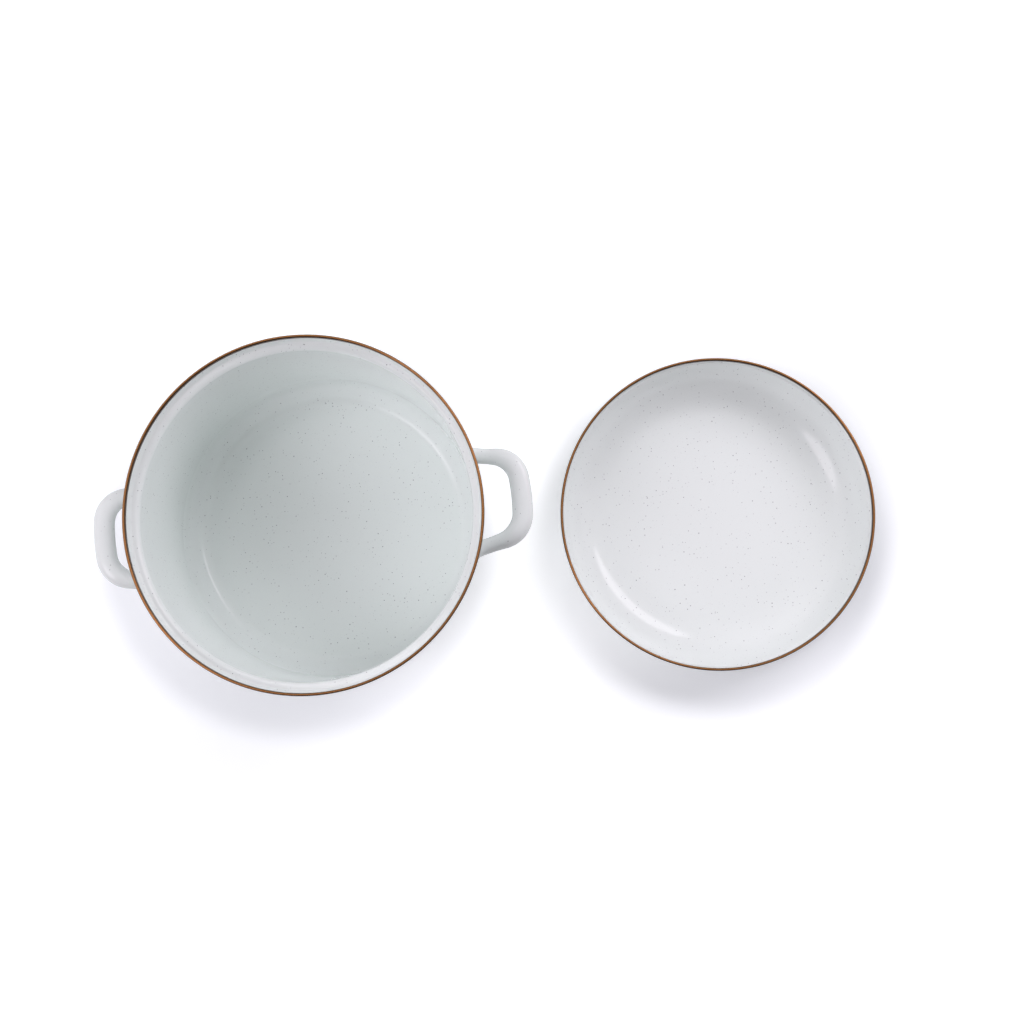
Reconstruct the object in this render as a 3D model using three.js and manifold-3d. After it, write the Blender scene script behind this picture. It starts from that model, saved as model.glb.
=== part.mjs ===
// Enamelled steel stockpot with two loop handles and a deep dish that, turned over, is its lid.
// Millimetres, +Z up. The origin is the middle of the pot's base and the handles lie along X.
// The dish lies hollow side up beside the pot, on the same surface.
import * as THREE from 'three';
import { mergeVertices } from 'three/addons/utils/BufferGeometryUtils.js';
import Module from 'manifold-3d';

const wasm = await Module();
wasm.setup();

// Sheet and trim
const SHEET = 1.4; // steel with its enamel
const LIP_SHEET = 1; // bare steel of the lip under the band
const GAP = 0.3; // clearance between neighbouring pieces
const BAND_SHEET = 0.4;
const BAND_LEG = 4; // height of the trim band, crown included
const BAND_CROWN = 1; // metal over the lip's edge
const BAND_WIDTH = LIP_SHEET + 2 * (GAP + BAND_SHEET);
const LIP = 2.9; // upright edge that the band covers

// Pot
const RIM_DIAMETER = 290; // over the band
const POT_HEIGHT = 160; // to the top of the band
const POT_INNER_RADIUS = 135;
const FLOOR_FILLET = 18;
const LEDGE = 1; // straight part of the seat for the lid
const LEDGE_SLOPE = 15; // degrees up from level
const LEDGE_BEND = 5; // rounding from the wall out to the ledge
const COLLAR_BEND = 2.5; // rounding from the ledge up to the collar
const COLLAR_SLOPE = 70;
const LIP_BEND = 4;

// Lid
const LID_DIAMETER = 280;
const LID_HEIGHT = 42;
const LID_FILLET = 42;
const LID_WALL_SLOPE = 68;
const LID_LIP_SLOPE = 30; // the wall leans out to this just below the band
const LID_OUT_BEND = 3;
const LID_UP_BEND = 2.4;
const LID_PLACE = [347.7, -26.6, 0];

// Handles
const GRIP_REACH = 184; // from the pot's axis to the outside of the grip
const GRIP_HEIGHT = 112.5; // middle of the grip above the base
const ROOT_HEIGHT = 102; // middle of the arms where they meet the wall
const ARM_SPREAD = 39.7; // from the middle plane to an arm's middle at the wall
const ARM_LEAN = 12; // degrees that the arms close in going out
const CORNER = 23; // bend from arm to grip, at the middle line
const HALF_GRIP = 8.7;
const HALF_ARM = 6.6;
const HALF_ROOT = 7.6;
const ROOT_DEPTH = 15; // the arms run on inside the wall's line before they are trimmed to it
const HALF_DEPTH = 6;
const HANDLE_SHEET = 1.6;
const SLOT = 80; // degrees of the section left open underneath

// Fineness
const TURNS = 56;
const BEND_STEP = 16; // degrees
const CROWN_STEPS = 6;
const ARM_STEPS = 5;
const CORNER_STEPS = 7;
const GRIP_STEPS = 8;
const SECTION_STEPS = 11;

// Colours
const ENAMEL = { color: 0xe6e8ea, roughness: 0.22, metalness: 0 };
const BRONZE = { color: 0x8a6a50, roughness: 0.32, metalness: 1 };

const UPWARDS = new THREE.Vector3(0, 0, 1);
const radians = THREE.MathUtils.degToRad;
const smooth = THREE.MathUtils.smoothstep;

// Follows a section from the axis outwards, through straight stretches and bends, left (+) or right (-).
// Each station keeps its point and the side, to the right, where the sheet has its thickness.
function follow(moves) {
  const at = new THREE.Vector2(0, SHEET);
  let heading = 0;
  const stations = [];
  const mark = () => {
    const side = new THREE.Vector2(Math.sin(heading), -Math.cos(heading));
    stations.push({ point: at.clone(), side });
  };
  mark();
  for (const { go = 0, bend = 0, radius = 0 } of moves) {
    const steps = Math.max(1, Math.ceil(Math.abs(bend) / BEND_STEP));
    const turn = radians(bend / steps);
    const chord = bend ? 2 * radius * Math.sin(Math.abs(turn) / 2) : go;
    for (let i = 0; i < steps; i++) {
      heading += turn / 2;
      at.x += chord * Math.cos(heading);
      at.y += chord * Math.sin(heading);
      heading += turn / 2;
      mark();
    }
  }
  return stations;
}

const endOf = (moves) => follow(moves).at(-1).point;

// Turns a closed section about the upright axis.
function revolve(section) {
  return new THREE.LatheGeometry(section, TURNS).rotateX(Math.PI / 2);
}

// A pressed shell: out along the underside, up the thinner bare lip, and back along the inside.
function shell(moves) {
  const inside = follow(moves);
  const behind = (thickness) => ({ point, side }) => point.clone().addScaledVector(side, thickness);
  const outside = inside.slice(0, -1).map(behind(SHEET));
  const lip = inside.slice(-2).map(behind(LIP_SHEET));
  outside[0].set(0, 0);
  return revolve([...outside, ...lip, ...inside.map(({ point }) => point).reverse()]);
}

// Inner radius and height of the lip that a band of this diameter and top covers.
const lipRadius = (diameter) => diameter / 2 - BAND_SHEET - GAP - LIP_SHEET;
const lipTop = (top) => top - BAND_CROWN - GAP;

function potShell() {
  const moves = (collar, wall) => [
    { go: POT_INNER_RADIUS - FLOOR_FILLET },
    { bend: 90, radius: FLOOR_FILLET },
    { go: wall },
    { bend: LEDGE_SLOPE - 90, radius: LEDGE_BEND },
    { go: LEDGE },
    { bend: COLLAR_SLOPE - LEDGE_SLOPE, radius: COLLAR_BEND },
    { go: collar },
    { bend: 90 - COLLAR_SLOPE, radius: LIP_BEND },
    { go: LIP },
  ];
  const missingRadius = lipRadius(RIM_DIAMETER) - endOf(moves(0, 0)).x;
  const collar = missingRadius / Math.cos(radians(COLLAR_SLOPE));
  const wall = lipTop(POT_HEIGHT) - endOf(moves(collar, 0)).y;
  return shell(moves(collar, wall));
}

function lidShell() {
  const moves = (wall, floor) => [
    { go: floor },
    { bend: LID_WALL_SLOPE, radius: LID_FILLET },
    { go: wall },
    { bend: LID_LIP_SLOPE - LID_WALL_SLOPE, radius: LID_OUT_BEND },
    { bend: 90 - LID_LIP_SLOPE, radius: LID_UP_BEND },
    { go: LIP },
  ];
  const missingHeight = lipTop(LID_HEIGHT) - endOf(moves(0, 0)).y;
  const wall = missingHeight / Math.sin(radians(LID_WALL_SLOPE));
  const floor = lipRadius(LID_DIAMETER) - endOf(moves(wall, 0)).x;
  return shell(moves(wall, floor));
}

// A trim band of U section, mouth down, with a round crown.
function rimBand(diameter, top) {
  const half = BAND_WIDTH / 2;
  const middle = diameter / 2 - half;
  const foot = top - BAND_LEG;
  const slot = half - BAND_SHEET;
  const section = new THREE.Path();
  section.moveTo(middle + half, foot);
  section.lineTo(middle + half, top - half);
  section.absarc(middle, top - half, half, 0, Math.PI, false);
  section.lineTo(middle - half, foot);
  section.lineTo(middle - slot, foot);
  section.lineTo(middle - slot, top - BAND_CROWN);
  section.lineTo(middle + slot, top - BAND_CROWN);
  section.lineTo(middle + slot, foot);
  section.lineTo(middle + half, foot);
  return revolve(section.getPoints(CROWN_STEPS / 2));
}

// Middle line of the handle on the +X side, seen from above: arm, corner, grip, corner, arm.
function handlePath() {
  const reach = GRIP_REACH - HALF_GRIP;
  const along = new THREE.Vector2(Math.cos(radians(ARM_LEAN)), -Math.sin(radians(ARM_LEAN)));
  const root = new THREE.Vector2(POT_INNER_RADIUS, ARM_SPREAD).addScaledVector(along, -ROOT_DEPTH);
  const inward = new THREE.Vector2(along.y, -along.x);
  // The corner's centre lies one bend inside both the arm and the grip.
  const offset = root.clone().addScaledVector(inward, CORNER);
  const past = offset.dot(along);
  const run = Math.sqrt((reach - CORNER) ** 2 - offset.lengthSq() + past ** 2) - past;
  const centre = offset.clone().addScaledVector(along, run);
  const half = [];
  for (let i = 0; i < ARM_STEPS; i++) {
    half.push(root.clone().addScaledVector(along, (run * i) / ARM_STEPS));
  }
  const from = Math.PI / 2 - radians(ARM_LEAN);
  const to = centre.angle();
  for (let i = 0; i < CORNER_STEPS; i++) {
    const angle = THREE.MathUtils.lerp(from, to, i / CORNER_STEPS);
    half.push(new THREE.Vector2(Math.cos(angle), Math.sin(angle)).multiplyScalar(CORNER).add(centre));
  }
  for (let i = 0; i < GRIP_STEPS / 2; i++) {
    const angle = to * (1 - i / (GRIP_STEPS / 2));
    half.push(new THREE.Vector2(Math.cos(angle), Math.sin(angle)).multiplyScalar(reach));
  }
  const mirrored = half.map(({ x, y }) => new THREE.Vector2(x, -y)).reverse();
  return [...half, new THREE.Vector2(reach, 0), ...mirrored];
}

// Section of the pressed handle: a flattened round channel, open underneath.
function handleSection(halfWidth) {
  const arc = (inset) => Array.from({ length: SECTION_STEPS + 1 }, (_, i) => {
    const angle = radians(SLOT / 2 - 90 + ((360 - SLOT) * i) / SECTION_STEPS);
    const across = (halfWidth - inset) * Math.cos(angle);
    return new THREE.Vector2(across, (HALF_DEPTH - inset) * Math.sin(angle));
  });
  return [...arc(0), ...arc(HANDLE_SHEET).reverse()];
}

function handleLoft() {
  const path = handlePath();
  const wall = POT_INNER_RADIUS + SHEET;
  const grip = GRIP_REACH - HALF_GRIP;
  const lifted = ({ x, y }) => {
    const height = THREE.MathUtils.lerp(ROOT_HEIGHT, GRIP_HEIGHT, smooth(x, wall, grip));
    return new THREE.Vector3(x, y, height);
  };
  const rings = path.map((p, i) => {
    const before = path[Math.max(i - 1, 0)];
    const after = path[Math.min(i + 1, path.length - 1)];
    const run = lifted(after).sub(lifted(before)).normalize();
    const across = new THREE.Vector3().crossVectors(UPWARDS, run).normalize();
    const up = new THREE.Vector3().crossVectors(run, across);
    const arm = THREE.MathUtils.lerp(HALF_ROOT, HALF_ARM, smooth(p.x, wall - SHEET, wall + HALF_ARM));
    const halfWidth = THREE.MathUtils.lerp(arm, HALF_GRIP, smooth(p.length(), grip - CORNER, grip));
    const place = ({ x, y }) => lifted(p).addScaledVector(across, x).addScaledVector(up, y);
    return handleSection(halfWidth).map(place);
  });
  return loft(rings, handleSection(HALF_ARM));
}

// Joins rings of equal count into a closed solid, with its two ends capped by the section.
function loft(rings, section) {
  const count = section.length;
  const index = [];
  for (let r = 0; r < rings.length - 1; r++) {
    for (let i = 0; i < count; i++) {
      const a = r * count + i;
      const b = r * count + ((i + 1) % count);
      index.push(a, b, a + count, b, b + count, a + count);
    }
  }
  const last = (rings.length - 1) * count;
  for (const [a, b, c] of THREE.ShapeUtils.triangulateShape(section, [])) {
    index.push(a, c, b, last + a, last + b, last + c);
  }
  return new THREE.BufferGeometry().setFromPoints(rings.flat()).setIndex(index);
}

function toSolid(geometry) {
  const bare = geometry.clone();
  bare.deleteAttribute('normal');
  bare.deleteAttribute('uv');
  const merged = mergeVertices(bare, 1e-3);
  const vertProperties = merged.attributes.position.array;
  const triVerts = new Uint32Array(merged.index.array);
  return new wasm.Manifold(new wasm.Mesh({ numProp: 3, vertProperties, triVerts }));
}

function toGeometry(solid) {
  const { vertProperties, triVerts } = solid.getMesh();
  return new THREE.BufferGeometry()
    .setAttribute('position', new THREE.BufferAttribute(vertProperties, 3))
    .setIndex(new THREE.BufferAttribute(triVerts, 1));
}

// The handle's arms end on the pot's wall.
function handle() {
  const radius = POT_INNER_RADIUS + SHEET + GAP;
  const wall = new THREE.CylinderGeometry(radius, radius, 2 * POT_HEIGHT, TURNS).rotateX(Math.PI / 2);
  return toGeometry(toSolid(handleLoft()).subtract(toSolid(wall)));
}

function piece(name, geometry, finish) {
  const mesh = new THREE.Mesh(geometry, new THREE.MeshStandardMaterial(finish));
  mesh.name = name;
  return mesh;
}

const pot = new THREE.Group();
pot.add(piece('pot_body', potShell(), ENAMEL));
pot.add(piece('pot_rim_band', rimBand(RIM_DIAMETER, POT_HEIGHT), BRONZE));
pot.add(piece('handle_right', handle(), ENAMEL));
const leftHandle = piece('handle_left', handle(), ENAMEL);
leftHandle.rotation.z = Math.PI;
pot.add(leftHandle);

const lid = new THREE.Group();
lid.add(piece('lid_dish', lidShell(), ENAMEL));
lid.add(piece('lid_rim_band', rimBand(LID_DIAMETER, LID_HEIGHT), BRONZE));
lid.position.set(...LID_PLACE);

const stockpot = new THREE.Group();
stockpot.add(pot, lid);

export default stockpot;
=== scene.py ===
import math
from typing import NamedTuple

import bmesh
import bpy
from bpy.props import FloatProperty, FloatVectorProperty, PointerProperty
from mathutils import Matrix, Vector


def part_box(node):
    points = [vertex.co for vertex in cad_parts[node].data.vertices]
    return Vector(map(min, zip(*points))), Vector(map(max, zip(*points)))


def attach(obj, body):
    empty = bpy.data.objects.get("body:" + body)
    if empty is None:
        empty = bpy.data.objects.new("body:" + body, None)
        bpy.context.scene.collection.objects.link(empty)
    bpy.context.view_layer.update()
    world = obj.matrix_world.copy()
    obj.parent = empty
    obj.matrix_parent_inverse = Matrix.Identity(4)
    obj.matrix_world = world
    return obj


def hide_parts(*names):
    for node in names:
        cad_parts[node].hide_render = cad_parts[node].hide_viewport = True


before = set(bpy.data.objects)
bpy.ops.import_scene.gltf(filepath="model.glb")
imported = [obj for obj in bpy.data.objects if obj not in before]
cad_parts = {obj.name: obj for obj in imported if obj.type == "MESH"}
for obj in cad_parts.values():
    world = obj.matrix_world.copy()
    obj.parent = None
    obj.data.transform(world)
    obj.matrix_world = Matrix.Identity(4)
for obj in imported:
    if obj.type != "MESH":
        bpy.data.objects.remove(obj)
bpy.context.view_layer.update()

bl_info = {
    "name": "Enamel stockpot",
    "version": (1, 0, 0),
    "blender": (4, 5, 0),
    "location": "3D View > Sidebar > Stockpot",
    "description": "Speckled enamel stockpot with bronze trim bands, its lid lying hollow side up beside it",
    "category": "Mesh",
}

MM = 0.001

# Fineness of the meshes
TURNS = 256
BEND_STEP = math.radians(5)
LEAST_BEND_STEPS = 2
FLOOR_RINGS = 8
HEEL_RINGS = 2
WALL_RINGS = 8
LID_WALL_RINGS = 2
BAND_RINGS = 2
SECTION_SIDES = 72
ARM_STEPS = 14
CORNER_STEPS = 16
GRIP_STEPS = 12
EDGE_SEGMENTS = 4
EDGE_ANGLE = math.radians(60)
SMOOTH_ANGLE = math.radians(45)
SLOT_TOLERANCE = math.radians(1)
MERGE_DISTANCE = 0.01 * MM

# Handle arms: how deep they are sunk in the wall, and how far out the fillet fades, in fillet radii
ARM_SUNK = 0.15 * MM
FILLET_REACH = 3

# Specks: least radius, what chance adds and soft edge, in middling radii, and darkness of the palest
SPECK_LEAST = 0.45
SPECK_SPREAD = 1.1
SPECK_EDGE = 0.4
SPECK_PALEST = 0.35

# Fine specks against the others: pitch, radius and darkness, and their soft edge in middling radii
FINE_PITCH = 0.55
FINE_RADIUS = 0.45
FINE_DARKNESS = 0.5
FINE_EDGE = 0.3

# Enamel glass: clouds, ripple, how deep a speck lies in it, and roughness that clouds and specks add
CLOUD_NOISE = {"Scale": 22, "Detail": 3}
CLOUD_TONE = 0.985
RIPPLE_NOISE = {"Scale": 160, "Detail": 2}
RIPPLE_STRENGTH = 0.12
RIPPLE_HEIGHT = 0.2 * MM
SPECK_DIP = 0.3
CLOUD_ROUGHNESS = 0.06
SPECK_ROUGHNESS = 0.1
GLASS_IOR = 1.5

# Bronze: brushed lines for each metre, rubbed patches, and the painted highlight on the crown, which fades
# in below the top
BRUSH_LINES = 5000
BRUSH_NOISE = {"Scale": 1, "Detail": 3}
BRUSH_TONE = 0.3
BRUSH_ROUGHNESS = 0.12
RUB_NOISE = {"Scale": 30, "Detail": 4}
RUB_HIGHLIGHT = 0.6
RUB_GLOSS = 0.06
CROWN_BEGIN = 0.4 * MM
CROWN_END = 0.1 * MM
CROWN_HIGHLIGHT = 0.6

# Studio, in metres: width of the paper and distance of the lamps
PAPER_SIZE = 40
LAMP_DISTANCE = 2.2

# Paper, in metres: the painted light between pot and lid fades by the sum of the distances from both shades,
# and the paper's glow goes to white by the nearer one
GAP_FADE = (0.08, 0.23)
FAR_FADE = (0.3, 1.3)

# Sky in reflections: from its dark front to its white rest, by the Y of the direction
FRONT_FADE = (-0.6, 0.1)

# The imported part, as found in the frame
pot_low, pot_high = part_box("pot_rim_band")
lid_low, lid_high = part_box("lid_rim_band")
grip_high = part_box("handle_right")[1]
lid_middle = (lid_low + lid_high) / 2
stage_middle = Vector(((pot_low.x + lid_high.x) / 2, 0, 0))


def length(name, description, default):
    """A length that a user may change, in metres."""
    limits = {"min": 0, "precision": 5, "unit": "LENGTH"}
    return FloatProperty(name=name, description=description, default=default, **limits)


def angle(name, description, degrees):
    """An angle that a user may change."""
    return FloatProperty(name=name, description=description, default=math.radians(degrees), subtype="ANGLE")


def share(name, description, default):
    """A plain number from 0 to 1."""
    limits = {"min": 0, "max": 1, "subtype": "FACTOR"}
    return FloatProperty(name=name, description=description, default=default, **limits)


def colour(name, description, default):
    """A linear colour."""
    limits = {"min": 0, "max": 1, "subtype": "COLOR"}
    return FloatVectorProperty(name=name, description=description, default=default, **limits)


class SheetSizes(bpy.types.PropertyGroup):
    """Sheet metal of the shells and of the trim bands."""

    thickness: length("Sheet", "Steel with its enamel", 1.4 * MM)
    lip: length("Lip", "Upright edge that the band covers", 2.9 * MM)
    gap: length("Gap", "Clearance between the lip and the band", 0.1 * MM)
    band: length("Band sheet", "Thickness of the trim band", 0.4 * MM)
    band_leg: length("Band height", "Height of the trim band, crown included", 4 * MM)
    band_crown: length("Band crown", "Metal over the lip's edge", 1 * MM)


class PotSizes(bpy.types.PropertyGroup):
    """Section of the pot."""

    rim_radius: length("Rim radius", "To the outside of the band", (pot_high.x - pot_low.x) / 2)
    height: length("Height", "To the top of the band", pot_high.z)
    inner_radius: length("Inner radius", "Inside of the straight wall", 135 * MM)
    floor_radius: length("Floor radius", "Of the flat floor", 114.5 * MM)
    floor_bend: length("Floor bend", "Rounding from the floor up to the heel", 14 * MM)
    heel_slope: angle("Heel slope", "Of the heel between the floor and the wall, up from level", 42)
    wall_bend: length("Wall bend", "Rounding from the heel up to the wall", 18 * MM)
    ledge: length("Ledge", "Straight part of the seat for the lid", 1 * MM)
    ledge_slope: angle("Ledge slope", "Up from level", 15)
    ledge_bend: length("Ledge bend", "Rounding from the wall out to the ledge", 5 * MM)
    collar_bend: length("Collar bend", "Rounding from the ledge up to the collar", 2.5 * MM)
    collar_slope: angle("Collar slope", "Up from level", 70)
    lip_bend: length("Lip bend", "Rounding from the collar to the lip", 4 * MM)


class LidSizes(bpy.types.PropertyGroup):
    """Section of the lid and where it lies."""

    rim_radius: length("Rim radius", "To the outside of the band", (lid_high.x - lid_low.x) / 2)
    height: length("Height", "To the top of the band", lid_high.z)
    place: FloatVectorProperty(
        name="Place",
        description="Middle of the lid's base",
        default=(lid_middle.x, lid_middle.y, 0),
        subtype="TRANSLATION",
    )
    fillet: length("Fillet", "Rounding from the flat to the wall", 42 * MM)
    wall_slope: angle("Wall slope", "Up from level", 68)
    lip_slope: angle("Lip slope", "The wall leans out to this just below the band", 30)
    out_bend: length("Outward bend", "Rounding from the wall out to the lip", 3 * MM)
    up_bend: length("Upward bend", "Rounding from there up to the lip", 2.4 * MM)


class HandleSizes(bpy.types.PropertyGroup):
    """Loop of pressed sheet, open underneath."""

    reach: length("Reach", "From the pot's axis to the outside of the grip", grip_high.x)
    grip_height: length("Grip height", "Middle of the grip above the base", 112.5 * MM)
    root_height: length("Root height", "Middle of the arms at the wall", 102 * MM)
    spread: length("Spread", "From the middle plane to an arm's middle at the wall", 39.7 * MM)
    lean: angle("Lean", "The arms close in by this going out", 12)
    corner: length("Corner", "Bend from arm to grip at the middle line", 23 * MM)
    half_grip: length("Half grip", "Half the width of the grip", 8.7 * MM)
    half_arm: length("Half arm", "Half the width of an arm", 6.6 * MM)
    half_root: length("Half root", "Half the width of an arm at the wall", 7.6 * MM)
    half_depth: length("Half depth", "Half the height of the section", 6 * MM)
    fillet: length("Root fillet", "Enamel that fills the corner at the wall", 1 * MM)
    thickness: length("Sheet", "Pressed sheet of the handle", 1.6 * MM)
    edge: length("Edge", "Rounding of the channel's lower edges", 0.6 * MM)
    slot: angle("Slot", "Part of the section left open underneath", 80)


class EnamelFinish(bpy.types.PropertyGroup):
    """White glass enamel with dark specks."""

    white: colour("White", "Enamel between the specks", (0.84, 0.90, 0.875))
    speck: colour("Speck", "Darkest specks", (0.28, 0.30, 0.31))
    pitch: length("Speck pitch", "Mean distance between specks in the enamel", 3.1 * MM)
    handle_pitch: length("Handle speck pitch", "The same on the handles", 4.6 * MM)
    radius: length("Speck radius", "Of a middling speck", 0.38 * MM)
    roughness: share("Roughness", "Of the glass surface", 0.08)


class BronzeFinish(bpy.types.PropertyGroup):
    """Bronze colour of the stainless trim bands."""

    # Painted highlight and shade: the lighter colour is the crown where light catches it, the darker one the
    # sides in shade
    bright: colour("Bright", "Rubbed metal of the crown", (0.36, 0.165, 0.067))
    dark: colour("Dark", "Toned metal of the sides", (0.06, 0.027, 0.013))
    roughness: share("Roughness", "Of the brushed metal", 0.24)


class StudioSettings(bpy.types.PropertyGroup):
    """Camera, floor and light."""

    camera_place: FloatVectorProperty(
        name="Camera",
        description="Place of the lens",
        default=(0.1701, -0.1059, 1.12495),
        subtype="TRANSLATION",
    )
    camera_turn: FloatVectorProperty(
        name="Camera turn",
        description="Turn about X, Y and Z",
        default=[math.radians(d) for d in (5.192, 0.798, -6.09)],
        subtype="EULER",
    )
    lens: FloatProperty(name="Lens", description="Focal length in millimetres", default=42.83, min=1)
    floor: colour("Floor", "Paper under the pot, as it lights the pot", (0.30, 0.30, 0.30))
    floor_seen: colour("Floor as seen", "Paper as it looks", (0.91, 0.97, 0.98))
    # Painted shade and light on the paper: its glow is weaker near circles round the rims, keeping their
    # cast shadows, and stronger between pot and lid
    shade_fall: FloatVectorProperty(
        name="Shade fall",
        description="From a rim's middle to the middle of its shade, at the paper",
        default=(14 * MM, -22 * MM, 0),
        subtype="TRANSLATION",
    )
    shade_shift: FloatVectorProperty(
        name="Shade shift",
        description="How much farther a shade lies off for each metre of its rim's height",
        default=(-0.31, 0.12, 0),
        subtype="XYZ",
    )
    shade_spread: share("Shade spread", "Growth of a shade's radius for each metre of rim height", 0.15)
    shade_reach: length("Shade reach", "From a shade's edge to where the whole lift is added", 30 * MM)
    shade_lift: share("Shade lift", "White added to the paper as seen in the shades", 0.11)
    floor_lift: share("Floor lift", "White added out of reach of the shades", 0.3)
    gap_lift: share("Gap lift", "White added besides between pot and lid", 0.25)
    front_tone: share("Front tone", "Brightness of the studio's front side in reflections", 0.04)
    light: colour("Light", "Tint of all the lamps", (1, 0.929, 1))
    level: FloatProperty(name="Level", description="Strength of all the lamps", default=0.94, min=0)


class StockpotSettings(bpy.types.PropertyGroup):
    """All that a user would change."""

    sheet: PointerProperty(type=SheetSizes, name="Sheet", description="Sheet metal")
    pot: PointerProperty(type=PotSizes, name="Pot", description="Pot")
    lid: PointerProperty(type=LidSizes, name="Lid", description="Lid")
    handle: PointerProperty(type=HandleSizes, name="Handles", description="Handles")
    enamel: PointerProperty(type=EnamelFinish, name="Enamel", description="Enamel")
    bronze: PointerProperty(type=BronzeFinish, name="Bronze", description="Trim bands")
    studio: PointerProperty(type=StudioSettings, name="Studio", description="Camera, floor and light")


class Run(NamedTuple):
    """A straight stretch of a section, in some steps."""

    length: float
    steps: int = 1


class Bend(NamedTuple):
    """A round stretch of a section: left is positive."""

    angle: float
    radius: float


def heading_vector(heading):
    """One metre this way in the XZ plane, where 0 is level and outward."""
    return Vector((math.cos(heading), 0, math.sin(heading)))


def bend_centre(at, heading, bend):
    """Centre of a bend that starts here."""
    side = math.copysign(math.pi / 2, bend.angle)
    return at + bend.radius * heading_vector(heading + side)


def after_bend(centre, heading, bend):
    """Where a bend about this centre ends."""
    side = math.copysign(math.pi / 2, bend.angle)
    return centre - bend.radius * heading_vector(heading + bend.angle + side)


def end_of(moves):
    """Where a section that starts level at the origin ends."""
    at = Vector()
    heading = 0.0
    for move in moves:
        if isinstance(move, Run):
            at += move.length * heading_vector(heading)
        else:
            at = after_bend(bend_centre(at, heading, move), heading, move)
            heading += move.angle
    return at


def deselect():
    """Leaves edit mode with nothing selected."""
    if bpy.context.mode != "OBJECT":
        bpy.ops.object.mode_set(mode="OBJECT")
    bpy.ops.object.select_all(action="DESELECT")


def select_only(piece):
    """Makes one piece the selected and the active one."""
    deselect()
    bpy.context.view_layer.objects.active = piece
    piece.select_set(True)


def edit(piece):
    """Opens one piece with everything in it selected."""
    select_only(piece)
    bpy.ops.object.mode_set(mode="EDIT")
    bpy.ops.mesh.select_all(action="SELECT")


def apply_modifier(piece, kind, settings):
    """Adds a modifier with these settings and applies it."""
    select_only(piece)
    modifier = piece.modifiers.new(kind.lower(), kind)
    for name, value in settings.items():
        setattr(modifier, name, value)
    bpy.ops.object.modifier_apply(modifier=modifier.name)


def thicken(piece, thickness):
    """Gives a sheet its thickness behind its faces."""
    apply_modifier(piece, "SOLIDIFY", {"thickness": thickness, "offset": -1, "use_even_offset": True})


def round_edges(piece, width):
    """Rounds the sharp edges of a piece."""
    settings = {
        "width": width,
        "segments": EDGE_SEGMENTS,
        "limit_method": "ANGLE",
        "angle_limit": EDGE_ANGLE,
    }
    apply_modifier(piece, "BEVEL", settings)


def finish_piece(piece, node, body, material):
    """Smooths a piece, dresses it and puts it in its node's place."""
    select_only(piece)
    bpy.ops.object.shade_smooth_by_angle(angle=SMOOTH_ANGLE)
    piece.data.materials.clear()
    piece.data.materials.append(material)
    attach(piece, body)
    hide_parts(node)


def draw_section(name, moves, start, heading=0.0):
    """Draws a section in the XZ plane: runs are extruded from a point and bends are spun."""
    deselect()
    bpy.ops.mesh.primitive_plane_add(size=1)
    piece = bpy.context.object
    piece.name = name
    edit(piece)
    bpy.ops.mesh.merge(type="CENTER")
    bpy.ops.transform.translate(value=start)
    at = Vector(start)
    for move in moves:
        if isinstance(move, Run):
            step = move.length / move.steps * heading_vector(heading)
            for _ in range(move.steps):
                bpy.ops.mesh.extrude_region_move(TRANSFORM_OT_translate={"value": step})
            at += move.length * heading_vector(heading)
        else:
            centre = bend_centre(at, heading, move)
            steps = max(LEAST_BEND_STEPS, round(abs(move.angle) / BEND_STEP))
            bpy.ops.mesh.spin(steps=steps, angle=move.angle, center=centre, axis=(0, 1, 0))
            at = after_bend(centre, heading, move)
            heading += move.angle
    return piece


def turn_section():
    """Spins the section about the upright axis and closes the seam."""
    bpy.ops.mesh.select_all(action="SELECT")
    bpy.ops.mesh.spin(steps=TURNS, angle=math.tau, center=(0, 0, 0), axis=(0, 0, 1))
    bpy.ops.mesh.select_all(action="SELECT")
    bpy.ops.mesh.remove_doubles(threshold=MERGE_DISTANCE)


def press_shell(name, moves, sheet, place):
    """A pressed bowl: its inside is drawn and turned, and the sheet lies outside it."""
    piece = draw_section(name, moves, (0, 0, sheet.thickness))
    turn_section()
    bpy.ops.mesh.normals_make_consistent(inside=True)
    middle_face = min(bmesh.from_edit_mesh(piece.data).faces, key=lambda f: f.calc_center_median().length)
    if middle_face.normal.z < 0:
        raise RuntimeError(f"the inside of {name} faces down")
    bpy.ops.transform.translate(value=place)
    thicken(piece, sheet.thickness)
    return piece


def lip_radius(rim_radius, sheet):
    """From the axis to the inside of the lip."""
    return rim_radius - sheet.band - sheet.gap - sheet.thickness


def lip_rise(height, sheet):
    """From the inside of the floor to the lip's edge."""
    return height - sheet.band_crown - sheet.gap - sheet.thickness


def pot_section(pot, sheet):
    """From the axis along the floor, up heel and wall, out over the ledge and up the collar to the lip."""

    def foot(heel):
        return [
            Run(pot.floor_radius, FLOOR_RINGS),
            Bend(pot.heel_slope, pot.floor_bend),
            Run(heel, HEEL_RINGS),
            Bend(math.pi / 2 - pot.heel_slope, pot.wall_bend),
        ]

    heel = (pot.inner_radius - end_of(foot(0)).x) / math.cos(pot.heel_slope)

    def moves(collar, wall):
        return [
            *foot(heel),
            Run(wall, WALL_RINGS),
            Bend(pot.ledge_slope - math.pi / 2, pot.ledge_bend),
            Run(pot.ledge),
            Bend(pot.collar_slope - pot.ledge_slope, pot.collar_bend),
            Run(collar),
            Bend(math.pi / 2 - pot.collar_slope, pot.lip_bend),
            Run(sheet.lip),
        ]

    missing_radius = lip_radius(pot.rim_radius, sheet) - end_of(moves(0, 0)).x
    collar = missing_radius / math.cos(pot.collar_slope)
    wall = lip_rise(pot.height, sheet) - end_of(moves(collar, 0)).z
    return moves(collar, wall)


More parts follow.
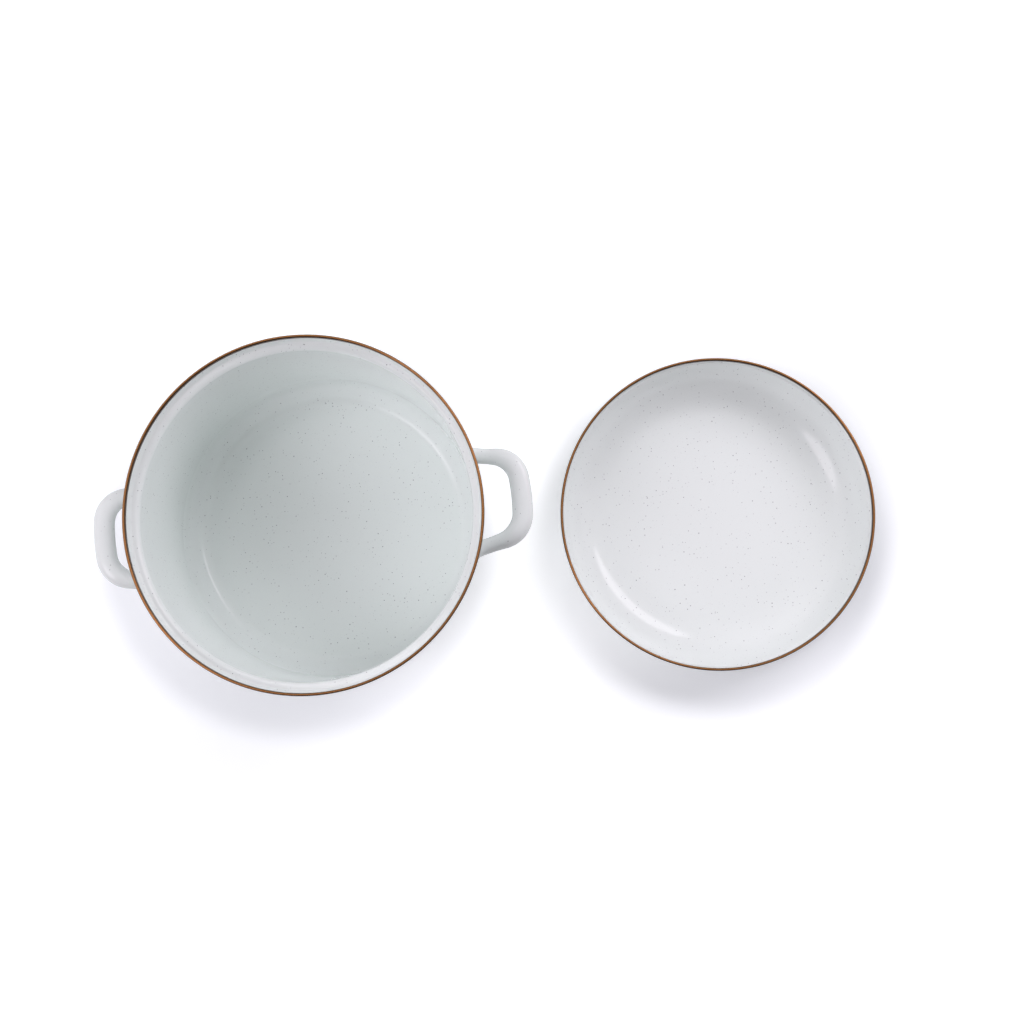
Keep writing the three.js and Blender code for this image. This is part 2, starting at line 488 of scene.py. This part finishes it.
def lid_section(lid, sheet):
    """From the axis along the flat, round the wide fillet, up the wall and out to the lip."""

    def moves(wall, flat):
        return [
            Run(flat, FLOOR_RINGS),
            Bend(lid.wall_slope, lid.fillet),
            Run(wall, LID_WALL_RINGS),
            Bend(lid.lip_slope - lid.wall_slope, lid.out_bend),
            Bend(math.pi / 2 - lid.lip_slope, lid.up_bend),
            Run(sheet.lip),
        ]

    wall = (lip_rise(lid.height, sheet) - end_of(moves(0, 0)).z) / math.sin(lid.wall_slope)
    flat = lip_radius(lid.rim_radius, sheet) - end_of(moves(wall, 0)).x
    return moves(wall, flat)


def crimp_band(name, rim_radius, top, sheet, place):
    """A trim band of U section, mouth down, with a round crown and rounded feet."""
    half = sheet.thickness / 2 + sheet.gap + sheet.band
    foot = sheet.band / 2
    slot = half - sheet.band
    leg = sheet.band_leg - half - foot
    inner_leg = sheet.band_leg - sheet.band_crown - slot - foot
    moves = [
        Run(leg, BAND_RINGS),
        Bend(math.pi, half),
        Run(leg, BAND_RINGS),
        Bend(math.pi, foot),
        Run(inner_leg, BAND_RINGS),
        Bend(-math.pi, slot),
        Run(inner_leg, BAND_RINGS),
        Bend(math.pi, foot),
    ]
    start = (rim_radius, 0, top - sheet.band_leg + foot)
    piece = draw_section(name, moves, start, math.pi / 2)
    turn_section()
    bpy.ops.mesh.normals_make_consistent(inside=False)
    bpy.ops.transform.translate(value=place)
    return piece


class Station(NamedTuple):
    """One place along a handle: its middle, which way it runs and half its section."""

    at: Vector
    yaw: float
    pitch: float
    across: float
    depth: float


def smooth_step(low, high, value):
    """Softly from 0 to 1 while a value goes from low to high."""
    t = min(max((value - low) / (high - low), 0), 1)
    return t * t * (3 - 2 * t)


def blend(low, high, t):
    """From low to high by t."""
    return low + (high - low) * t


def handle_line(handle, wall):
    """Middle line of the right handle from above: arm, corner, grip about the pot's axis, corner, arm."""
    grip = handle.reach - handle.half_grip
    along = Vector((math.cos(handle.lean), -math.sin(handle.lean)))
    inward = Vector((along.y, -along.x))
    # The line starts a root's width inside the wall, where the arms are cut later.
    root = Vector((wall, handle.spread)) - 2 * handle.half_root * along
    # The corner's centre lies one bend inside both the arm and the grip.
    offset = root + handle.corner * inward
    past = offset.dot(along)
    run = math.sqrt((grip - handle.corner) ** 2 - offset.length_squared + past**2) - past
    centre = offset + run * along
    first = math.pi / 2 - handle.lean
    last = math.atan2(centre.y, centre.x)
    half = [root + run * i / ARM_STEPS * along for i in range(ARM_STEPS)]
    for i in range(CORNER_STEPS):
        turned = blend(first, last, i / CORNER_STEPS)
        half.append(centre + handle.corner * Vector((math.cos(turned), math.sin(turned))))
    for i in range(GRIP_STEPS):
        turned = last * (1 - i / GRIP_STEPS)
        half.append(grip * Vector((math.cos(turned), math.sin(turned))))
    mirrored = [Vector((point.x, -point.y)) for point in reversed(half)]
    return [*half, Vector((grip, 0)), *mirrored]


def handle_stations(handle, wall):
    """Lifts the middle line from the roots to the grip and gives each place its section."""
    line = handle_line(handle, wall)
    grip = handle.reach - handle.half_grip

    def lifted(point):
        rise = smooth_step(wall, grip, point.x)
        return Vector((point.x, point.y, blend(handle.root_height, handle.grip_height, rise)))

    stations = []
    for i, point in enumerate(line):
        run = lifted(line[min(i + 1, len(line) - 1)]) - lifted(line[max(i - 1, 0)])
        clear = point.length - wall
        flare = smooth_step(0, handle.half_arm, clear)
        fillet = handle.fillet * (1 - smooth_step(0, FILLET_REACH * handle.fillet, clear))
        arm = blend(handle.half_root, handle.half_arm, flare)
        across = blend(arm, handle.half_grip, smooth_step(grip - handle.corner, grip, point.length))
        yaw = math.atan2(run.y, run.x)
        pitch = math.atan2(run.z, math.hypot(run.x, run.y))
        stations.append(Station(lifted(point), yaw, pitch, across + fillet, handle.half_depth + fillet))
    return stations


def ring_axes(yaw, pitch):
    """Along, across and up of a ring that runs this way."""
    axes = Matrix.Rotation(yaw, 3, "Z") @ Matrix.Rotation(-pitch, 3, "Y")
    return [tuple(axis) for axis in axes.col]


def set_ring(station, before):
    """Turns the selected ring about its middle and stretches it from one station's section to the next."""
    turns = ((-before.yaw, "Z"), (before.pitch - station.pitch, "Y"), (station.yaw, "Z"))
    for turn, axis in turns:
        # Without a window the rotate operator turns the other way.
        bpy.ops.transform.rotate(value=-turn, orient_axis=axis, center_override=station.at)
    bpy.ops.transform.resize(
        value=(1, station.across / before.across, station.depth / before.depth),
        orient_type="GLOBAL",
        orient_matrix=ring_axes(station.yaw, station.pitch),
        orient_matrix_type="GLOBAL",
        center_override=station.at,
    )


def select_where(piece, test):
    """Selects the faces, edges and points whose points all pass the test."""
    bpy.ops.mesh.select_all(action="DESELECT")
    mesh = bmesh.from_edit_mesh(piece.data)
    for vert in mesh.verts:
        vert.select = test(vert.co)
    mesh.select_flush(True)
    bmesh.update_edit_mesh(piece.data)


def loft_handle(name, handle, wall):
    """Draws a ring open underneath along the handle's stations."""
    deselect()
    bpy.ops.mesh.primitive_circle_add(vertices=SECTION_SIDES, radius=1, rotation=(0, math.pi / 2, 0))
    piece = bpy.context.object
    piece.name = name
    bpy.ops.object.transform_apply(location=True, rotation=True, scale=True)
    edit(piece)
    slot_end = -math.cos(handle.slot / 2 - SLOT_TOLERANCE)
    select_where(piece, lambda co: co.z < slot_end)
    bpy.ops.mesh.delete(type="VERT")
    bpy.ops.mesh.select_all(action="SELECT")
    # The ring as it is now: at the origin, one metre in radius. It is moved to the first station.
    before = Station(Vector(), 0, 0, 1, 1)
    for station in handle_stations(handle, wall):
        step = station.at - before.at
        if before.at.length:
            bpy.ops.mesh.extrude_region_move(TRANSFORM_OT_translate={"value": step})
        else:
            bpy.ops.transform.translate(value=step)
        set_ring(station, before)
        before = station
    bpy.ops.mesh.select_all(action="SELECT")
    bpy.ops.mesh.normals_make_consistent(inside=False)
    top_face = max(bmesh.from_edit_mesh(piece.data).faces, key=lambda f: f.calc_center_median().z)
    if top_face.normal.z < 0:
        raise RuntimeError(f"the outside of {name} faces in")
    return piece


def trim_arms(piece, handle, wall):
    """Cuts both arms flat, a little inside the pot's wall, and closes them."""
    bearing = math.atan2(handle.spread, wall)
    edit(piece)
    for side in (1, -1):
        away = Vector((math.cos(bearing), side * math.sin(bearing), 0))
        cut = away * (wall - ARM_SUNK)
        select_where(piece, lambda co: co.y * side > 0)
        bpy.ops.mesh.bisect(plane_co=cut, plane_no=away, use_fill=True, clear_inner=True)


class Wire:
    """A shader socket in Python expressions: each operator adds one Math node."""

    def __init__(self, tree, socket=None):
        self.tree = tree
        self.socket = socket

    def node(self, kind, settings=None, inputs=None, output=0):
        """Adds any node: its settings first, then the values or links of its sockets."""
        made = self.tree.nodes.new(kind)
        for name, value in (settings or {}).items():
            setattr(made, name, value)
        for key, value in (inputs or {}).items():
            if isinstance(value, Wire):
                self.tree.links.new(value.socket, made.inputs[key])
            else:
                made.inputs[key].default_value = value
        return Wire(self.tree, made.outputs[output] if made.outputs else None)

    def beside(self, output):
        """Another output of the same node."""
        return Wire(self.tree, self.socket.node.outputs[output])

    def math(self, operation, first, second, clamp=False):
        """Adds a Math node of two values."""
        settings = {"operation": operation, "use_clamp": clamp}
        return self.node("ShaderNodeMath", settings, {0: first, 1: second})

    def vector(self, operation, *values, output="Vector"):
        """Adds a Vector Math node."""
        return self.node("ShaderNodeVectorMath", {"operation": operation}, dict(enumerate(values)), output)

    def noise(self, grain):
        """Adds a noise of this grain at this place."""
        return self.node("ShaderNodeTexNoise", None, {"Vector": self, **grain})

    def mix(self, first, second):
        """From the first colour to the second by this value."""
        inputs = {"Factor": self, 6: first, 7: second}
        return self.node("ShaderNodeMix", {"data_type": "RGBA"}, inputs, output=2)

    def clamp(self):
        """This value, kept from 0 to 1."""
        return self.math("ADD", self, 0, clamp=True)

    def fade(self, begin, end, low=0.0, high=1.0):
        """Softly from low to high while this value goes from begin to end."""
        inputs = {"Value": self, "From Min": begin, "From Max": end, "To Min": low, "To Max": high}
        return self.node("ShaderNodeMapRange", {"interpolation_type": "SMOOTHSTEP"}, inputs)

    def __add__(self, other):
        return self.math("ADD", self, other)

    def __radd__(self, other):
        return self.math("ADD", other, self)

    def __sub__(self, other):
        return self.math("SUBTRACT", self, other)

    def __rsub__(self, other):
        return self.math("SUBTRACT", other, self)

    def __mul__(self, other):
        return self.math("MULTIPLY", self, other)

    def __rmul__(self, other):
        return self.math("MULTIPLY", other, self)


def new_material(name):
    """An empty material and the start of its expressions."""
    material = bpy.data.materials.new(name)
    material.use_nodes = True
    material.node_tree.nodes.clear()
    return material, Wire(material.node_tree)


def opaque(rgb):
    """A colour with its alpha."""
    return (*rgb, 1)


def specks(start, place, pitch, radius, soft):
    """Round dots where the surface cuts small balls spread in the enamel, and a random darkness for each."""
    cells = start.node("ShaderNodeTexVoronoi", {"feature": "F1"}, {"Vector": place, "Scale": 1 / pitch})
    chance = start.node("ShaderNodeSeparateColor", None, {"Color": cells.beside("Color")})
    reach = (SPECK_LEAST + SPECK_SPREAD * chance) * (radius / pitch)
    dot = start.math("DIVIDE", reach - cells.beside("Distance"), soft / pitch, clamp=True)
    return dot * (SPECK_PALEST + (1 - SPECK_PALEST) * chance.beside("Green"))


def enamel_material(name, enamel, pitch):
    """White glass with dark specks, faint clouds and the soft ripple of fired enamel."""
    material, start = new_material(name)
    place = start.node("ShaderNodeTexCoord", output="Object")
    radius = enamel.radius
    large = specks(start, place, pitch, radius, SPECK_EDGE * radius)
    fine = specks(start, place, FINE_PITCH * pitch, FINE_RADIUS * radius, FINE_EDGE * radius)
    cloud = place.noise(CLOUD_NOISE)
    ripple = place.noise(RIPPLE_NOISE)
    white = cloud.mix(opaque(CLOUD_TONE * Vector(enamel.white)), opaque(enamel.white))
    dark = (large + FINE_DARKNESS * fine).clamp()
    bump_inputs = {
        "Strength": RIPPLE_STRENGTH,
        "Distance": RIPPLE_HEIGHT,
        "Height": ripple - SPECK_DIP * dark,
    }
    shader_inputs = {
        "Base Color": dark.mix(white, opaque(enamel.speck)),
        "Roughness": enamel.roughness + CLOUD_ROUGHNESS * cloud + SPECK_ROUGHNESS * dark,
        "IOR": GLASS_IOR,
        "Normal": start.node("ShaderNodeBump", None, bump_inputs),
    }
    shader = start.node("ShaderNodeBsdfPrincipled", None, shader_inputs)
    start.node("ShaderNodeOutputMaterial", None, {"Surface": shader})
    return material


def shell_enamel(enamel):
    """The enamel that pot and lid share."""
    name = "shell_enamel"
    return bpy.data.materials.get(name) or enamel_material(name, enamel, enamel.pitch)


def bronze_material(name, bronze, centre, top):
    """Bronze-toned steel, brushed round the rim, with a painted highlight along the crown that rubbed
    patches vary, and painted shade on the sides.
    """
    material, start = new_material(name)
    place = start.node("ShaderNodeTexCoord", output="Object")
    from_centre = start.vector("SUBTRACT", place, centre)
    radius = start.vector("LENGTH", from_centre, output="Value")
    height = start.node("ShaderNodeSeparateXYZ", None, {"Vector": from_centre}, output="Z")
    lines = start.node("ShaderNodeCombineXYZ", None, {"X": radius * BRUSH_LINES, "Y": height * BRUSH_LINES})
    brushed = lines.noise(BRUSH_NOISE)
    rubbed = place.noise(RUB_NOISE)
    # Painted highlight: the top of the band, where light catches it, takes the lighter colour, and the sides
    # keep the darker one as painted shade
    crown = height.fade(top - CROWN_BEGIN, top - CROWN_END)
    # The middle of the brushing neither brightens nor darkens.
    tone = (crown * (CROWN_HIGHLIGHT + RUB_HIGHLIGHT * rubbed) + BRUSH_TONE * brushed - BRUSH_TONE / 2).clamp()
    shader_inputs = {
        "Base Color": tone.mix(opaque(bronze.dark), opaque(bronze.bright)),
        "Metallic": 1,
        "Roughness": bronze.roughness + BRUSH_ROUGHNESS * brushed - RUB_GLOSS * rubbed,
    }
    shader = start.node("ShaderNodeBsdfPrincipled", None, shader_inputs)
    start.node("ShaderNodeOutputMaterial", None, {"Surface": shader})
    return material


def seen(start):
    """1 where the eye meets a surface straight, by a reflection or through glass."""
    rays = start.node("ShaderNodeLightPath", output="Is Camera Ray")
    return (rays + rays.beside("Is Glossy Ray") + rays.beside("Is Transmission Ray")).clamp()


def beside_shade(start, place, low, high, studio):
    """Distance on the paper from the edge of a rim's painted shade circle, which lies a little off the rim's
    own place.
    """
    middle = (low + high) / 2 + Vector(studio.shade_fall) + high.z * Vector(studio.shade_shift)
    middle.z = 0
    away = start.vector("DISTANCE", place, middle, output="Value")
    return away - (high.x - low.x) / 2 - studio.shade_spread * high.z


def paper_material(studio):
    """Paper that glows white as seen, with painted shade that keeps the cast shadows close to pot and lid
    and painted light between them.
    """
    material, start = new_material("studio_paper")
    in_view = seen(start)
    tone = in_view.mix(opaque(studio.floor), opaque(studio.floor_seen))
    paper = start.node("ShaderNodeBsdfDiffuse", None, {"Color": tone})
    place = start.node("ShaderNodeTexCoord", output="Object")
    from_pot = beside_shade(start, place, pot_low, pot_high, studio)
    from_lid = beside_shade(start, place, lid_low, lid_high, studio)
    # Painted shade and light: least glow beside the shade circles, so the cast shadows stay there, white
    # further out, and a painted pool of light between pot and lid
    near = start.math("MINIMUM", from_pot, from_lid)
    lift = near.fade(0, studio.shade_reach, studio.shade_lift, studio.floor_lift)
    gap = (from_pot + from_lid).fade(*GAP_FADE, studio.gap_lift, 0)
    far = near.fade(*FAR_FADE, 0, 1 - studio.floor_lift)
    glow = start.node("ShaderNodeEmission", None, {"Color": in_view * (lift + gap + far)})
    both = start.node("ShaderNodeAddShader", None, {0: paper, 1: glow})
    start.node("ShaderNodeOutputMaterial", None, {"Surface": both})
    return material


class Lamp(NamedTuple):
    """A soft lamp: degrees from +X towards +Y, degrees up, watts, metres, and whether the gloss shows it."""

    name: str
    bearing: float
    elevation: float
    power: float
    width: float = 1.4
    height: float = 1.4
    mirrored: bool = False


LAMPS = (
    Lamp("key", 36, 36, 13.5),
    Lamp("key_glint", 34, 37, 11, width=1.5, height=0.9, mirrored=True),
    Lamp("fill", 204, 60, 6),
    Lamp("fill_glint", 204, 46, 9, width=1.1, height=1.1, mirrored=True),
    Lamp("right", 0, 14, 11.6),
    Lamp("back", 100, 36, 14.4),
    Lamp("left", 180, 36, 13.5),
    Lamp("front", 270, 36, 9),
    Lamp("top", 90, 87, 2.8),
)


def hang_lamp(lamp, studio):
    """Hangs a soft lamp round the middle of the stage and turns it there."""
    bearing = math.radians(lamp.bearing)
    elevation = math.radians(lamp.elevation)
    level = math.cos(elevation)
    towards = Vector((level * math.cos(bearing), level * math.sin(bearing), math.sin(elevation)))
    turn = towards.to_track_quat("Z", "Y").to_euler()
    bpy.ops.object.light_add(type="AREA", location=stage_middle + LAMP_DISTANCE * towards, rotation=turn)
    made = bpy.context.object
    made.name = f"{lamp.name}_lamp"
    made.data.shape = "ELLIPSE"
    made.data.size = lamp.width
    made.data.size_y = lamp.height
    made.data.energy = lamp.power * studio.level
    made.data.color = studio.light
    made.visible_glossy = lamp.mirrored


def light_sky(scene, studio):
    """White all round as seen, with a dark front in reflections. It lights no matt surface."""
    scene.world = bpy.data.worlds.new("studio_sky")
    scene.world.use_nodes = True
    scene.world.node_tree.nodes.clear()
    start = Wire(scene.world.node_tree)
    way = start.node("ShaderNodeTexCoord", output="Generated")
    back = start.node("ShaderNodeSeparateXYZ", None, {"Vector": way}, output="Y")
    tone = back.fade(*FRONT_FADE, studio.front_tone, 1)
    rays = start.node("ShaderNodeLightPath", output="Is Camera Ray")
    strength = rays + rays.beside("Is Transmission Ray") + tone * rays.beside("Is Glossy Ray")
    sky = start.node("ShaderNodeBackground", None, {"Color": opaque((1, 1, 1)), "Strength": strength})
    start.node("ShaderNodeOutputWorld", None, {"Surface": sky})


class STOCKPOT_OT_press_pot(bpy.types.Operator):
    """Press the pot's shell and enamel it"""

    bl_idname = "stockpot.press_pot"
    bl_label = "Press the pot"

    def execute(self, context):
        settings = context.scene.stockpot
        moves = pot_section(settings.pot, settings.sheet)
        piece = press_shell("pot_shell", moves, settings.sheet, (0, 0, 0))
        finish_piece(piece, "pot_body", "pot", shell_enamel(settings.enamel))
        return {"FINISHED"}


class STOCKPOT_OT_press_lid(bpy.types.Operator):
    """Press the lid's dish and enamel it"""

    bl_idname = "stockpot.press_lid"
    bl_label = "Press the lid"

    def execute(self, context):
        settings = context.scene.stockpot
        moves = lid_section(settings.lid, settings.sheet)
        piece = press_shell("lid_shell", moves, settings.sheet, settings.lid.place)
        finish_piece(piece, "lid_dish", "lid", shell_enamel(settings.enamel))
        return {"FINISHED"}


class STOCKPOT_OT_crimp_bands(bpy.types.Operator):
    """Crimp the bronze trim bands over both lips"""

    bl_idname = "stockpot.crimp_bands"
    bl_label = "Crimp the bands"

    def execute(self, context):
        settings = context.scene.stockpot
        places = {"pot": (0, 0, 0), "lid": settings.lid.place}
        for body, place in places.items():
            sizes = getattr(settings, body)
            piece = crimp_band(f"{body}_band", sizes.rim_radius, sizes.height, settings.sheet, place)
            bronze = bronze_material(f"{body}_bronze", settings.bronze, place, sizes.height)
            finish_piece(piece, f"{body}_rim_band", body, bronze)
        return {"FINISHED"}


class STOCKPOT_OT_form_handles(bpy.types.Operator):
    """Form one handle, copy it to the other side and enamel both"""

    bl_idname = "stockpot.form_handles"
    bl_label = "Form the handles"

    def execute(self, context):
        settings = context.scene.stockpot
        handle = settings.handle
        wall = settings.pot.inner_radius + settings.sheet.thickness
        right = loft_handle("right_handle", handle, wall)
        thicken(right, handle.thickness)
        round_edges(right, handle.edge)
        trim_arms(right, handle, wall)
        select_only(right)
        bpy.ops.object.duplicate()
        left = context.object
        left.name = "left_handle"
        edit(left)
        bpy.ops.transform.rotate(value=math.pi, orient_axis="Z", center_override=(0, 0, 0))
        enamel = enamel_material("handle_enamel", settings.enamel, settings.enamel.handle_pitch)
        finish_piece(right, "handle_right", "pot", enamel)
        finish_piece(left, "handle_left", "pot", enamel)
        return {"FINISHED"}


class STOCKPOT_OT_set_stage(bpy.types.Operator):
    """Lay the paper, hang the lamps and set the camera"""

    bl_idname = "stockpot.set_stage"
    bl_label = "Set the stage"

    def execute(self, context):
        studio = context.scene.stockpot.studio
        deselect()
        bpy.ops.mesh.primitive_plane_add(size=PAPER_SIZE)
        paper = context.object
        paper.name = "studio_paper"
        paper.data.materials.append(paper_material(studio))
        for lamp in LAMPS:
            hang_lamp(lamp, studio)
        light_sky(context.scene, studio)
        bpy.ops.object.camera_add(location=studio.camera_place, rotation=studio.camera_turn)
        camera = context.object
        camera.name = "camera"
        camera.data.lens = studio.lens
        context.scene.camera = camera
        context.scene.view_settings.view_transform = "Standard"
        return {"FINISHED"}


OPERATORS = (
    STOCKPOT_OT_press_pot,
    STOCKPOT_OT_press_lid,
    STOCKPOT_OT_crimp_bands,
    STOCKPOT_OT_form_handles,
    STOCKPOT_OT_set_stage,
)


class VIEW3D_PT_stockpot(bpy.types.Panel):
    """Buttons for the pieces, and their sizes"""

    bl_label = "Stockpot"
    bl_idname = "VIEW3D_PT_stockpot"
    bl_space_type = "VIEW_3D"
    bl_region_type = "UI"
    bl_category = "Stockpot"

    def draw(self, context):
        for operator in OPERATORS:
            self.layout.operator(operator.bl_idname)
        settings = context.scene.stockpot
        for group in StockpotSettings.__annotations__:
            box = self.layout.box()
            box.label(text=settings.bl_rna.properties[group].name)
            values = getattr(settings, group)
            for key in values.__annotations__:
                box.prop(values, key)


CLASSES = (
    SheetSizes,
    PotSizes,
    LidSizes,
    HandleSizes,
    EnamelFinish,
    BronzeFinish,
    StudioSettings,
    StockpotSettings,
    *OPERATORS,
    VIEW3D_PT_stockpot,
)


def register():
    for cls in CLASSES:
        bpy.utils.register_class(cls)
    words = {"name": "Stockpot", "description": "Sizes, finishes and studio of the stockpot"}
    bpy.types.Scene.stockpot = PointerProperty(type=StockpotSettings, **words)


def unregister():
    del bpy.types.Scene.stockpot
    for cls in reversed(CLASSES):
        bpy.utils.unregister_class(cls)


def main():
    register()
    bpy.ops.stockpot.press_pot()
    bpy.ops.stockpot.press_lid()
    bpy.ops.stockpot.crimp_bands()
    bpy.ops.stockpot.form_handles()
    bpy.ops.stockpot.set_stage()


if __name__ == "__main__":
    main()
